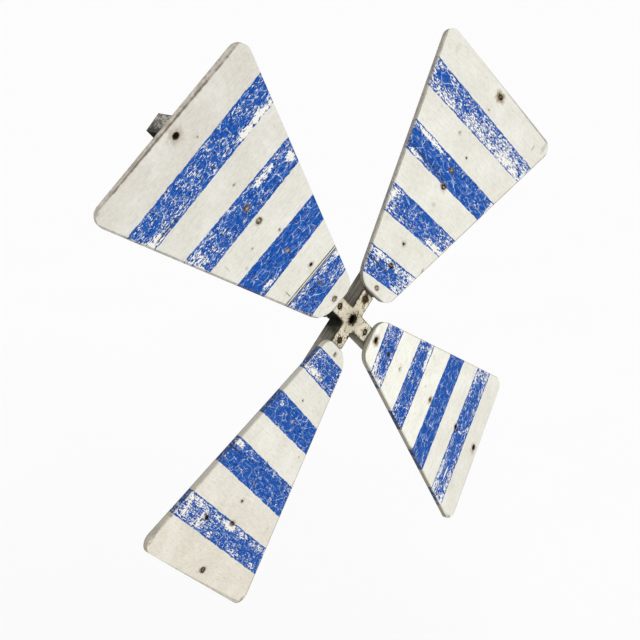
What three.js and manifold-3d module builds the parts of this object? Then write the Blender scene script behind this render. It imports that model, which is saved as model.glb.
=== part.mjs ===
// Wind spinner: a four-bladed wooden windmill rotor on a fixed steel axle.
// Millimetres. +Z is up, the rotor turns about Y and its front faces -Y. The origin is the
// middle of the boss on the back face of the mounting strap.
import * as THREE from 'three';
import { mergeVertices } from 'three/addons/utils/BufferGeometryUtils.js';
import Module from 'manifold-3d';

const wasm = await Module();
wasm.setup();

// ---- driving dimensions -------------------------------------------------------------------
const REACH = 75;               // hub front face ahead of the mounting plane
const GAP = 0.3;                // between pieces that touch on the real object
const FIT = 0.1;                // between pieces that are clamped together

const BATTEN_WIDTH = 25;
const BATTEN_DEPTH = 27;
const BATTEN_HALF_LENGTH = 416.5;

const BLADE_THICKNESS = 9;
const BLADE_INNER = 46;         // radius where a blade begins
const BLADE_FRONT = 6.7;        // blade face ahead of the hub face, on the arm's centre line
const BLADE_ROOT_HALF = 32.2;   // half width at BLADE_INNER
const BLADE_TIP_HALF = 137;     // half width at BLADE_NOMINAL
const BLADE_NOMINAL = 417;
const BLADE_ARRIS = 1.1;        // small chamfer round each blade
const SEAM = 0.3;               // between the boards of one blade
const CORNER = { tip: 16, rootLeading: 22, rootTrailing: 34 };

// The blades are hand-fitted, so each differs a little. Angles are in degrees; seams and
// screws are radii along the arm, and the middle screw avoids a knot on each blade.
const BLADES = [
  { arm: 45, turn: -0.6, pitch: 11.4, length: 419.6, skew: -0.8, shift: 0, spread: 0.4,
    seams: [86, 249], screws: [56, 95, 132, 238, 265, 404] },
  { arm: 315, turn: -0.4, pitch: 11.7, length: 414.8, skew: -0.5, shift: 0.2, spread: -0.6,
    seams: [85, 249], screws: [57, 96, 134, 235, 264, 401] },
  { arm: 225, turn: 0.4, pitch: 10.5, length: 416.3, skew: 1.6, shift: 0.9, spread: 1.1,
    seams: [84, 246], screws: [57, 97, 168, 234, 266, 400] },
  { arm: 135, turn: 0.5, pitch: 10.7, length: 417.4, skew: -0.7, shift: 1.8, spread: -0.9,
    seams: [118, 252], screws: [58, 97, 174, 239, 265, 402] },
];
const ARM_FRONT_LAP = 135;      // the batten that keeps its front half at the hub
const ARM_REAR_LAP = 45;        // the batten that keeps its rear half

const PLATE_THICKNESS = 3;
const PLATE_HALF_SPAN = 43.6;
const PLATE_CORNER = 3.5;       // fillet between the plate's arms
const PLATE_SCREW_RADIUS = 35;
const HUB_HOLE = 12.7;

const SCREW_HEAD = 8.4;
const SCREW_SHANK = 4;
const SCREW_SLOT_WIDTH = 1.2;
const SCREW_SLOT_DEPTH = 1;
const SCREW_HEAD_HEIGHT = 2.2;
const BLADE_SCREW_LENGTH = 24;
const PLATE_SCREW_LENGTH = 16;
const SMALL_SCREW_LENGTH = 10;
const HEAD_RECESS = 0.3;

const BUSH_OUTER = 16;
const BUSH_BORE = 8.6;
const BUSH_FRONT = -17.5;       // depths below the hub face are negative
const BUSH_REAR = -42;
const REAR_STRAP = { length: 80, width: 20, thickness: 3, screwRadius: 28 };

const AXLE_DIAMETER = 8;
const AXLE_SHOULDER = 12;
const THRUST_WASHER = { outer: 20, thickness: 2 };
const KEEPER_WASHER = { outer: 12, inner: 4.6, thickness: 1.5 };
const KEEPER_SCREW = { head: 7.5, headHeight: 2.8, shank: 4, length: 14 };

const STRAP = { width: 30, thickness: 4, above: 80, holeRadius: 2.75, holes: [44, 80] };
const BOSS = { outer: 20, bore: 12.6, length: 16 };
const SET_SCREW = { diameter: 4.6, length: 3.6 };

// ---- derived dimensions -------------------------------------------------------------------
const LAP_PLANE = -(PLATE_THICKNESS + (BATTEN_DEPTH - PLATE_THICKNESS) / 2);
const RECESS_HALF = BLADE_INNER - GAP;
const TAPER = (BLADE_TIP_HALF - BLADE_ROOT_HALF) / (BLADE_NOMINAL - BLADE_INNER);
const THRUST_FRONT = BUSH_REAR - GAP;
const SHOULDER_FRONT = THRUST_FRONT - THRUST_WASHER.thickness - FIT;
const AXLE_FRONT = BUSH_FRONT + GAP + FIT;
const STRAP_FRONT = -REACH + STRAP.thickness;

const FINISH = {
  blade_paint: { color: 0xe9e7df, roughness: 0.75, metalness: 0 },
  batten_wood: { color: 0x77736a, roughness: 0.9, metalness: 0 },
  plate_paint: { color: 0xcfc6ac, roughness: 0.7, metalness: 0.1 },
  screw_steel: { color: 0x5a4a3a, roughness: 0.7, metalness: 0.6 },
  bare_steel: { color: 0x8b8d8c, roughness: 0.5, metalness: 0.9 },
  bush_bronze: { color: 0x9a7440, roughness: 0.5, metalness: 0.9 },
};

// ---- helpers ------------------------------------------------------------------------------
const radians = THREE.MathUtils.degToRad;
const group = new THREE.Group();
group.name = 'wind_spinner';

function toSolid(geometry) {
  const bare = geometry.clone();
  bare.deleteAttribute('normal');
  bare.deleteAttribute('uv');
  const welded = mergeVertices(bare, 1e-4);
  return new wasm.Manifold(new wasm.Mesh({
    numProp: 3,
    vertProperties: new Float32Array(welded.attributes.position.array),
    triVerts: new Uint32Array(welded.index.array),
  }));
}

function toGeometry(solid) {
  const mesh = solid.getMesh();
  const geometry = new THREE.BufferGeometry();
  geometry.setAttribute('position', new THREE.BufferAttribute(mesh.vertProperties, 3));
  geometry.setIndex(new THREE.BufferAttribute(mesh.triVerts, 1));
  const flat = geometry.toNonIndexed();
  flat.computeVertexNormals();
  return flat;
}

function addNode(name, finish, solid) {
  const material = new THREE.MeshStandardMaterial(FINISH[finish]);
  material.name = finish;
  const mesh = new THREE.Mesh(toGeometry(solid), material);
  mesh.name = name;
  group.add(mesh);
}

// An arm's own axes: x out along the arm, y anticlockwise seen from the front, z to the front,
// from the point where the rotor's axis meets the hub's front face.
function armMatrix(degrees) {
  const angle = radians(degrees);
  const out = new THREE.Vector3(Math.cos(angle), 0, Math.sin(angle));
  const across = new THREE.Vector3(-Math.sin(angle), 0, Math.cos(angle));
  const front = new THREE.Vector3(0, -1, 0);
  return new THREE.Matrix4().makeBasis(out, across, front).setPosition(0, -REACH, 0);
}

// A blade's own axes: the arm's, turned a little in its plane, moved out to the blade's face
// and pitched so that the anticlockwise edge drops back.
function bladeMatrix(blade) {
  return armMatrix(blade.arm + blade.turn)
    .multiply(new THREE.Matrix4().makeTranslation(0, 0, BLADE_FRONT))
    .multiply(new THREE.Matrix4().makeRotationX(-radians(blade.pitch)));
}

const HUB = armMatrix(0);

function place(geometry, matrix) {
  return toSolid(geometry.clone().applyMatrix4(matrix));
}

function box(matrix, min, max) {
  const size = new THREE.Vector3(max[0] - min[0], max[1] - min[1], max[2] - min[2]);
  const geometry = new THREE.BoxGeometry(size.x, size.y, size.z);
  geometry.translate((min[0] + max[0]) / 2, (min[1] + max[1]) / 2, (min[2] + max[2]) / 2);
  return place(geometry, matrix);
}

// A turned piece about the local z axis through (x, y): profile is a list of [radius, z].
function turned(matrix, profile, x = 0, y = 0, segments = 20) {
  const points = profile.map(([radius, z]) => new THREE.Vector2(radius, z));
  const geometry = new THREE.LatheGeometry(points, segments);
  geometry.rotateX(Math.PI / 2);
  geometry.translate(x, y, 0);
  return place(geometry, matrix);
}

function rod(matrix, diameter, rear, front, x = 0, y = 0, segments = 20) {
  return turned(matrix, [[0, rear], [diameter / 2, rear], [diameter / 2, front], [0, front]], x, y, segments);
}

function ring(matrix, outer, inner, rear, front, segments = 24) {
  const profile = [[inner / 2, rear], [outer / 2, rear], [outer / 2, front], [inner / 2, front], [inner / 2, rear]];
  return turned(matrix, profile, 0, 0, segments);
}

// ---- screws -------------------------------------------------------------------------------
const SCREW_SIDES = 12;

// A slotted countersunk wood screw whose head ends at local z = top.
function woodScrew(matrix, x, y, top, length, slotAngle) {
  const shank = SCREW_SHANK / 2;
  const profile = [
    [0, top - length],
    [shank, top - length + 5],
    [shank, top - SCREW_HEAD_HEIGHT],
    [SCREW_HEAD / 2, top],
    [0, top],
  ];
  const body = turned(matrix, profile, x, y, SCREW_SIDES);
  const slot = new THREE.BoxGeometry(SCREW_HEAD + 2, SCREW_SLOT_WIDTH, 2 * SCREW_SLOT_DEPTH);
  slot.rotateZ(slotAngle);
  slot.translate(x, y, top);
  return body.subtract(place(slot, matrix));
}

// The countersunk hole that such a screw sits in.
function screwHole(matrix, x, y, top, length) {
  const clear = SCREW_SHANK / 2 + GAP;
  const rim = SCREW_HEAD / 2 + GAP;
  const profile = [
    [0, top - length - 1],
    [clear, top - length - 1],
    [clear, top - SCREW_HEAD_HEIGHT],
    [rim, top],
    [rim, top + 6],
    [0, top + 6],
  ];
  return turned(matrix, profile, x, y, SCREW_SIDES);
}

const slotTurn = (index) => (index * 2.4) % Math.PI;

// ---- blades -------------------------------------------------------------------------------
// An outline with its corners rounded: corners is a list of [x, y, radius].
function roundedShape(corners) {
  const shape = new THREE.Shape();
  corners.forEach(([x, y, radius], i) => {
    const here = new THREE.Vector2(x, y);
    const [px, py] = corners[(i + corners.length - 1) % corners.length];
    const [nx, ny] = corners[(i + 1) % corners.length];
    const back = new THREE.Vector2(px, py).sub(here).normalize();
    const ahead = new THREE.Vector2(nx, ny).sub(here).normalize();
    const half = Math.acos(back.dot(ahead)) / 2;
    const start = here.clone().addScaledVector(back, radius / Math.tan(half));
    const middle = back.add(ahead).normalize().multiplyScalar(radius / Math.sin(half)).add(here);
    const from = start.clone().sub(middle).angle();
    const clockwise = (here.x - px) * (ny - here.y) - (here.y - py) * (nx - here.x) < 0;
    const sweep = (Math.PI - 2 * half) * (clockwise ? -1 : 1);
    shape.absarc(middle.x, middle.y, radius, from, from + sweep, clockwise);
  });
  return shape;
}

function bladeOutline(blade) {
  const taper = TAPER + blade.spread / (BLADE_NOMINAL - BLADE_INNER);
  const skew = Math.tan(radians(blade.skew));
  const tip = (side) => {
    const y = side * (BLADE_ROOT_HALF + taper * (blade.length - BLADE_INNER)) / (1 - side * taper * skew);
    return [blade.length + skew * y, y + blade.shift, CORNER.tip];
  };
  return roundedShape([
    [BLADE_INNER, -BLADE_ROOT_HALF + blade.shift, CORNER.rootLeading],
    tip(-1),
    tip(1),
    [BLADE_INNER, BLADE_ROOT_HALF + blade.shift, CORNER.rootTrailing],
  ]);
}

function bladeSolid(blade) {
  const geometry = new THREE.ExtrudeGeometry(bladeOutline(blade), {
    depth: BLADE_THICKNESS - 2 * BLADE_ARRIS,
    bevelThickness: BLADE_ARRIS,
    bevelSize: BLADE_ARRIS,
    bevelOffset: -BLADE_ARRIS,
    bevelSegments: 1,
    curveSegments: 7,
  });
  geometry.translate(0, 0, BLADE_ARRIS - BLADE_THICKNESS);
  return place(geometry, bladeMatrix(blade));
}

function addBlade(blade, number) {
  const matrix = bladeMatrix(blade);
  const whole = bladeSolid(blade);
  const edges = [0, ...blade.seams, 500];
  for (let board = 0; board < 3; board += 1) {
    const from = edges[board] + SEAM / 2;
    const to = edges[board + 1] - SEAM / 2;
    let solid = whole.intersect(box(matrix, [from, -200, -20], [to, 200, 20]));
    for (const radius of blade.screws.filter((r) => r > from && r < to)) {
      solid = solid.subtract(screwHole(matrix, radius, 0, -HEAD_RECESS, BLADE_SCREW_LENGTH));
    }
    addNode(`blade_${number}_board_${board + 1}`, 'blade_paint', solid);
  }
  blade.screws.forEach((radius, i) => {
    const screw = woodScrew(matrix, radius, 0, -HEAD_RECESS, BLADE_SCREW_LENGTH, slotTurn(number * 7 + i));
    addNode(`blade_${number}_screw_${i + 1}`, 'screw_steel', screw);
  });
}

// ---- battens ------------------------------------------------------------------------------
// The bevelled seat planed into a batten's front for one blade, with the blade's screw holes.
function bladeSeat(blade) {
  const matrix = bladeMatrix(blade);
  let cut = box(matrix, [RECESS_HALF, -60, -BLADE_THICKNESS - FIT], [BATTEN_HALF_LENGTH + 20, 60, 40]);
  for (const radius of blade.screws) {
    cut = cut.add(screwHole(matrix, radius, 0, -HEAD_RECESS, BLADE_SCREW_LENGTH));
  }
  return cut;
}

function battenSolid(arm) {
  const matrix = armMatrix(arm);
  const half = BATTEN_WIDTH / 2;
  let solid = box(matrix, [-BATTEN_HALF_LENGTH, -half, -BATTEN_DEPTH], [BATTEN_HALF_LENGTH, half, 0]);
  solid = solid.subtract(box(matrix, [-RECESS_HALF, -20, -PLATE_THICKNESS], [RECESS_HALF, 20, 5]));
  for (const blade of BLADES.filter((b) => (b.arm - arm) % 180 === 0)) {
    solid = solid.subtract(bladeSeat(blade));
  }
  for (const side of [-1, 1]) {
    const x = side * PLATE_SCREW_RADIUS;
    solid = solid.subtract(screwHole(matrix, x, 0, -HEAD_RECESS, PLATE_SCREW_LENGTH));
  }
  return solid;
}

function addBattens() {
  const clear = BATTEN_WIDTH / 2 + GAP / 2;
  const front = armMatrix(ARM_FRONT_LAP);
  const frontNotch = box(front, [-clear, -20, -40], [clear, 20, LAP_PLANE + GAP / 2]);
  const frontBore = rod(front, HUB_HOLE, -40, 5, 0, 0, 24);
  addNode('batten_front', 'batten_wood', battenSolid(ARM_FRONT_LAP).subtract(frontNotch).subtract(frontBore));

  const rear = armMatrix(ARM_REAR_LAP);
  const rearNotch = box(rear, [-clear, -20, LAP_PLANE - GAP / 2], [clear, 20, 5]);
  const rearBore = rod(rear, BUSH_OUTER + GAP, -40, 5, 0, 0, 24);
  const { length, width, thickness, screwRadius } = REAR_STRAP;
  const housing = box(rear,
    [-length / 2 - GAP, -width / 2 - GAP, -40],
    [length / 2 + GAP, width / 2 + GAP, thickness - BATTEN_DEPTH + FIT]);
  let solid = battenSolid(ARM_REAR_LAP).subtract(rearNotch).subtract(rearBore).subtract(housing);
  for (const side of [-1, 1]) {
    const flipped = rearMatrix();
    solid = solid.subtract(screwHole(flipped, side * screwRadius, 0, -HEAD_RECESS, SMALL_SCREW_LENGTH));
  }
  addNode('batten_rear', 'batten_wood', solid);
}

// Axes for what is fastened from behind: x along the rear batten, z to the back, from its rear face.
function rearMatrix() {
  return armMatrix(ARM_REAR_LAP)
    .multiply(new THREE.Matrix4().makeTranslation(0, 0, -BATTEN_DEPTH))
    .multiply(new THREE.Matrix4().makeRotationX(Math.PI));
}

// ---- hub ----------------------------------------------------------------------------------
function plateOutline() {
  const half = BATTEN_WIDTH / 2 - 0.2;
  const span = PLATE_HALF_SPAN;
  const corners = [];
  for (let quarter = 0; quarter < 4; quarter += 1) {
    const turn = (x, y) => {
      const angle = quarter * Math.PI / 2;
      return [x * Math.cos(angle) - y * Math.sin(angle), x * Math.sin(angle) + y * Math.cos(angle)];
    };
    corners.push([...turn(span, -half), 1.5], [...turn(span, half), 1.5], [...turn(half, half), PLATE_CORNER]);
  }
  return roundedShape(corners);
}

function addHubPlate() {
  const matrix = armMatrix(45);
  const geometry = new THREE.ExtrudeGeometry(plateOutline(), {
    depth: PLATE_THICKNESS - FIT, bevelEnabled: false, curveSegments: 4,
  });
  geometry.translate(0, 0, FIT - PLATE_THICKNESS);
  let plate = place(geometry, matrix).subtract(rod(matrix, HUB_HOLE, -10, 10, 0, 0, 24));
  for (let arm = 0; arm < 4; arm += 1) {
    const armed = armMatrix(45 - 90 * arm);
    plate = plate.subtract(screwHole(armed, PLATE_SCREW_RADIUS, 0, -HEAD_RECESS, PLATE_SCREW_LENGTH));
    const screw = woodScrew(armed, PLATE_SCREW_RADIUS, 0, -HEAD_RECESS, PLATE_SCREW_LENGTH, slotTurn(arm + 1));
    addNode(`plate_screw_${arm + 1}`, 'screw_steel', screw);
  }
  addNode('hub_plate', 'plate_paint', plate);
}

function addRearStrap() {
  const matrix = rearMatrix();
  const { length, width, thickness, screwRadius } = REAR_STRAP;
  let strap = box(matrix, [-length / 2, -width / 2, -thickness], [length / 2, width / 2, 0]);
  strap = strap.subtract(rod(matrix, BUSH_OUTER + GAP, -10, 10, 0, 0, 24));
  [-1, 1].forEach((side, i) => {
    const x = side * screwRadius;
    strap = strap.subtract(screwHole(matrix, x, 0, -HEAD_RECESS, SMALL_SCREW_LENGTH));
    const screw = woodScrew(matrix, x, 0, -HEAD_RECESS, SMALL_SCREW_LENGTH, slotTurn(i + 3));
    addNode(`rear_strap_screw_${i + 1}`, 'screw_steel', screw);
  });
  addNode('rear_strap', 'bare_steel', strap);
  addNode('bush', 'bush_bronze', ring(HUB, BUSH_OUTER, BUSH_BORE, BUSH_REAR, BUSH_FRONT));
}

// ---- axle and mounting --------------------------------------------------------------------
function addAxle() {
  const journal = AXLE_DIAMETER / 2;
  const shoulder = AXLE_SHOULDER / 2;
  const rear = STRAP_FRONT + GAP;
  const axle = turned(HUB, [
    [0, rear],
    [shoulder, rear],
    [shoulder, SHOULDER_FRONT],
    [journal, SHOULDER_FRONT],
    [journal, AXLE_FRONT - 0.5],
    [journal - 0.5, AXLE_FRONT],
    [0, AXLE_FRONT],
  ], 0, 0, 24);
  const threadHole = rod(HUB, KEEPER_SCREW.shank + 2 * GAP, AXLE_FRONT - KEEPER_SCREW.length, 0, 0, 0, SCREW_SIDES);
  addNode('axle', 'bare_steel', axle.subtract(threadHole));

  const { outer, thickness } = THRUST_WASHER;
  const washer = ring(HUB, outer, BUSH_BORE, THRUST_FRONT - thickness, THRUST_FRONT);
  addNode('thrust_washer', 'bush_bronze', washer);

  const keeperRear = AXLE_FRONT + FIT;
  const keeperFront = keeperRear + KEEPER_WASHER.thickness;
  addNode('keeper_washer', 'bare_steel',
    ring(HUB, KEEPER_WASHER.outer, KEEPER_WASHER.inner, keeperRear, keeperFront));

  const { head, headHeight, shank, length } = KEEPER_SCREW;
  const under = keeperFront + FIT;
  const top = under + headHeight;
  const keeper = turned(HUB, [
    [0, under - length],
    [shank / 2, under - length],
    [shank / 2, under],
    [head / 2, under],
    [head / 2, top - 1],
    [head / 2 - 1, top],
    [0, top],
  ], 0, 0, SCREW_SIDES);
  const slot = box(HUB, [-head, -SCREW_SLOT_WIDTH / 2, top - SCREW_SLOT_DEPTH], [head, SCREW_SLOT_WIDTH / 2, top + 1]);
  addNode('keeper_screw', 'bare_steel', keeper.subtract(slot));
}

function addMounting() {
  const half = STRAP.width / 2;
  const shape = roundedShape([
    [-half, -half, half - 1],
    [half, -half, half - 1],
    [half, STRAP.above + half, half - 1],
    [-half, STRAP.above + half, half - 1],
  ]);
  const geometry = new THREE.ExtrudeGeometry(shape, {
    depth: STRAP.thickness, bevelEnabled: false, curveSegments: 8,
  });
  geometry.translate(0, 0, -REACH);
  let strap = place(geometry, HUB);
  for (const height of STRAP.holes) {
    strap = strap.subtract(rod(HUB, 2 * STRAP.holeRadius, -REACH - 5, STRAP_FRONT + 5, 0, height, 24));
  }
  addNode('mounting_strap', 'bare_steel', strap);

  const bossRear = STRAP_FRONT + FIT;
  const bossFront = bossRear + BOSS.length;
  const middle = (bossRear + bossFront) / 2;
  const radial = HUB.clone()
    .multiply(new THREE.Matrix4().makeTranslation(0, 0, middle))
    .multiply(new THREE.Matrix4().makeRotationX(-Math.PI / 2));
  const setHole = rod(radial, SET_SCREW.diameter + 2 * GAP, 0, BOSS.outer, 0, 0, SCREW_SIDES);
  addNode('boss', 'bare_steel', ring(HUB, BOSS.outer, BOSS.bore, bossRear, bossFront).subtract(setHole));

  const seat = AXLE_SHOULDER / 2 + FIT;
  addNode('set_screw', 'screw_steel',
    rod(radial, SET_SCREW.diameter, seat, seat + SET_SCREW.length, 0, 0, SCREW_SIDES));
}

// ---- assembly -----------------------------------------------------------------------------
addBattens();
BLADES.forEach((blade, index) => addBlade(blade, index + 1));
addHubPlate();
addRearStrap();
addAxle();
addMounting();

export default group;
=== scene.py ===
"""Looks, light and camera for the painted wooden wind spinner.

Every visible piece is a CAD node with a procedural material. A material works in mm, in the axes of the
piece that it is on, so stripes, seams and screw marks sit where they belong and turn with the rotor.
"""
import math
from collections import namedtuple

import bpy
from mathutils import Matrix, Vector

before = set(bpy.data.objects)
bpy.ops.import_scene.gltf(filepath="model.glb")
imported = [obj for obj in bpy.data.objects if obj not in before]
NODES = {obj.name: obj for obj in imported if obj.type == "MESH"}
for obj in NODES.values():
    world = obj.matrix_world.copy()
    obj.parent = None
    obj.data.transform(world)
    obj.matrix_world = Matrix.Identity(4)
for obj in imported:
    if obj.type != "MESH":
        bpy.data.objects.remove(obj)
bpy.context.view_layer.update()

# ---- the rotor's layout, as in the CAD, in mm unless it says otherwise ----------------------
MM = 0.001                      # one mm in metres
BLADE_THICKNESS = 9.0
BLADE_INNER = 46.0              # from the axis to a blade's inner end
BLADE_ROOT_HALF = 32.2          # half a blade's width at its inner end
BLADE_TAPER = 0.2825            # half width gained per mm along the arm
BATTEN_HALF_LENGTH = 416.5
BATTEN_HALF_WIDTH = 12.5
BATTEN_DEPTH = 27.0
PLATE_HALF_SPAN = 43.6
PLATE_HALF_WIDTH = 12.3
PLATE_SCREW_AT = 35.0           # from the axis to the middle of a plate screw
HUB_HOLE_RADIUS = 6.35
FRONT_BATTEN_ANGLE = 135
REAR_BATTEN_ANGLE = 45

HUB_FRONT = Vector((0.0, -0.075, 0.0))          # m, the middle of the hub plate's front face
BLADE_FRONT = Vector((0.0, -0.0817, 0.0))       # m, where the blades' centre lines meet the axis


def axes(angle, pitch=0.0):
    """Unit vectors out along an arm, across it (anticlockwise) and to the front, tipped by the pitch."""
    a, p = math.radians(angle), math.radians(pitch)
    out = Vector((math.cos(a), 0.0, math.sin(a)))
    flat = Vector((-math.sin(a), 0.0, math.cos(a)))
    front = Vector((0.0, -1.0, 0.0))
    across = math.cos(p) * flat - math.sin(p) * front
    return out, across, math.sin(p) * flat + math.cos(p) * front


# ---- node graphs ----------------------------------------------------------------------------
class Graph:
    """Adds nodes to one tree. Every value is a socket or a plain number."""

    def __init__(self, tree):
        self.tree = tree

    def node(self, kind, inputs=(), **settings):
        made = self.tree.nodes.new(kind)
        for key, value in settings.items():
            setattr(made, key, value)
        for key, value in dict(inputs).items():
            self.put(made.inputs[key], value)
        return made

    def put(self, socket, value):
        if isinstance(value, bpy.types.NodeSocket):
            self.tree.links.new(value, socket)
        elif isinstance(value, (tuple, list, Vector)) and socket.type == "RGBA" and len(value) == 3:
            socket.default_value = (*value, 1.0)
        else:
            socket.default_value = value

    def math(self, operation, a, b=0.0, c=0.0):
        return self.node("ShaderNodeMath", {0: a, 1: b, 2: c}, operation=operation).outputs[0]

    def add(self, *terms):
        total = terms[0]
        for term in terms[1:]:
            total = self.math("ADD", total, term)
        return total

    def mul(self, *factors):
        total = factors[0]
        for factor in factors[1:]:
            total = self.math("MULTIPLY", total, factor)
        return total

    def sub(self, a, b):
        return self.math("SUBTRACT", a, b)

    def least(self, a, b):
        return self.math("MINIMUM", a, b)

    def most(self, a, b):
        return self.math("MAXIMUM", a, b)

    def size(self, x):
        return self.math("ABSOLUTE", x)

    def distance(self, a, b):
        """The length of the flat vector (a, b)."""
        return self.math("SQRT", self.add(self.mul(a, a), self.mul(b, b)))

    def fade(self, x, low, high, to_low=0.0, to_high=1.0):
        """A smooth step of x: to_low at low and to_high at high."""
        limits = {"From Min": low, "From Max": high, "To Min": to_low, "To Max": to_high}
        made = self.node("ShaderNodeMapRange", {"Value": x, **limits}, interpolation_type="SMOOTHSTEP")
        return made.outputs["Result"]

    def along(self, vector, direction):
        made = self.node("ShaderNodeVectorMath", {0: vector, 1: direction}, operation="DOT_PRODUCT")
        return made.outputs["Value"]

    def vector(self, x, y, z):
        return self.node("ShaderNodeCombineXYZ", {"X": x, "Y": y, "Z": z}).outputs["Vector"]

    def stretch(self, vector, x, y, z):
        made = self.node("ShaderNodeVectorMath", {0: vector, 1: (x, y, z)}, operation="MULTIPLY")
        return made.outputs["Vector"]

    def shift(self, vector, offset):
        made = self.node("ShaderNodeVectorMath", {0: vector, 1: offset}, operation="ADD")
        return made.outputs["Vector"]

    def noise(self, vector, scale=1.0, detail=3.0, rough=0.5, warp=0.0):
        """A noise from 0 to 1. A larger scale makes its features smaller."""
        made = self.node("ShaderNodeTexNoise",
                         {"Vector": vector, "Scale": scale, "Detail": detail, "Roughness": rough,
                          "Distortion": warp})
        return made.outputs[0]

    def bend(self, vector, by):
        """The vector pushed along each axis by 0 to by, which varies from place to place."""
        push = self.node("ShaderNodeTexNoise", {"Vector": vector, "Scale": 0.09, "Detail": 3.0})
        made = self.node("ShaderNodeVectorMath", {0: push.outputs["Color"], 1: (by, by, by), 2: vector},
                         operation="MULTIPLY_ADD")
        return made.outputs["Vector"]

    def cells(self, vector, scale):
        """The distance to the nearest edge of an irregular cell pattern."""
        made = self.node("ShaderNodeTexVoronoi", {"Vector": vector, "Scale": scale},
                         feature="DISTANCE_TO_EDGE")
        return made.outputs["Distance"]

    def mix(self, amount, a, b, blend="MIX"):
        made = self.node("ShaderNodeMix", data_type="RGBA", blend_type=blend, clamp_factor=True)
        self.put(made.inputs[0], amount)
        self.put(made.inputs[6], a)
        self.put(made.inputs[7], b)
        return made.outputs[2]

    def tint(self, base, colour, strength, x, low, high):
        """The base with the colour mixed in, by nothing where x is low and by strength where it is high."""
        return self.mix(self.fade(x, low, high, 0.0, strength), base, colour)

    def finish(self, colour, rough, height=None, bump=0.6, metal=0.0, level=0.05):
        """Joins the colour, roughness, height (in mm) and specular level to the shader."""
        shader = self.node("ShaderNodeBsdfPrincipled", {"Base Color": colour, "Roughness": rough})
        shader.inputs["Specular IOR Level"].default_value = level
        self.put(shader.inputs["Metallic"], metal)
        if height is not None:
            relief = self.node("ShaderNodeBump", {"Height": height, "Distance": MM, "Strength": bump})
            self.put(shader.inputs["Normal"], relief.outputs["Normal"])
        self.node("ShaderNodeOutputMaterial", {"Surface": shader.outputs[0]})

    def place(self, origin, directions):
        """Coordinates in mm from an origin along three unit vectors, and the vector of all three."""
        where = self.node("ShaderNodeTexCoord").outputs["Object"]
        centred = self.shift(where, -origin)
        parts = [self.along(centred, direction / MM) for direction in directions]
        return *parts, self.vector(*parts)


def start_material(name):
    """A new, empty material and the graph of its nodes."""
    material = bpy.data.materials.new(name)
    material.use_nodes = True
    material.node_tree.nodes.clear()
    return material, Graph(material.node_tree)


def dress(material, *names):
    """Puts the material on the named CAD nodes."""
    for name in names:
        NODES[name].data.materials.clear()
        NODES[name].data.materials.append(material)


# ---- the blades' paint ----------------------------------------------------------------------
WHITE = (0.775, 0.765, 0.690)
WHITE_DIRTY = (0.52, 0.47, 0.38)
WHITE_CHALK = (0.88, 0.88, 0.84)        # fresh white, bared where the blue has flaked off
BLUE = (0.003, 0.066, 0.345)
BLUE_LIGHT = (0.009, 0.104, 0.440)
BLUE_DARK = (0.002, 0.017, 0.110)
CRACK = (0.60, 0.68, 0.80)
SEAM_DARK = (0.035, 0.030, 0.028)
RUST = (0.21, 0.135, 0.045)
RUST_PALE = (0.60, 0.50, 0.32)
RUST_DARK = (0.006, 0.004, 0.003)
# brown grime, and also painted shade along the back edge of a blade's side
GRIME_AND_SHADE = (0.105, 0.075, 0.050)
BARE_LIGHT = (0.40, 0.375, 0.325)
BARE_DARK = (0.17, 0.155, 0.13)
BACK_DARK = (0.52, 0.50, 0.44)
BACK_LIGHT = (0.64, 0.62, 0.55)

COARSE_CRACK_SCALE = 0.088      # cells per mm, before the cracks are bent
FINE_CRACK_SCALE = 0.24
CRACK_BEND = 10.0               # mm
EDGE_WAVER = 0.9                # mm either way, along a stripe's painted edges
INNER_CORNER = 14.0             # mm over which the grime rounds a blade's inner corners
SEAM_FADE = 12.0                # mm over which an open seam closes at its ends
MARK_SHAPE = 0.85               # below 1, marks are longer across the blade than along it
NOISE_STEP = 137.0              # mm between the places that two blades take their noises from

# All are in mm and in a blade's axes: out along the arm, and across it anticlockwise.
# A stripe's inner and outer edge are each (distance out on the centre line, slope). It is worn all over,
# and more or less along its inner and outer edge and at its anticlockwise (plus) and clockwise end.
Stripe = namedtuple("Stripe", "inner outer worn inner_edge outer_edge plus_end minus_end",
                    defaults=(0.0, 0.0, 0.0, 0.0))
# A worn patch or a brown stain: its middle, half its length out and half its width across.
Spot = namedtuple("Spot", "out across long wide strength")
# Where the joint between two boards, or a long crack, shows dark, from start to stop across the blade.
Seam = namedtuple("Seam", "out start stop")
# A screw or nail: the dot's radius and darkness, the halo's radius and strength, and how pale its middle is.
Mark = namedtuple("Mark", "out across dot dark halo stain pale", defaults=(0.0,))
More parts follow.
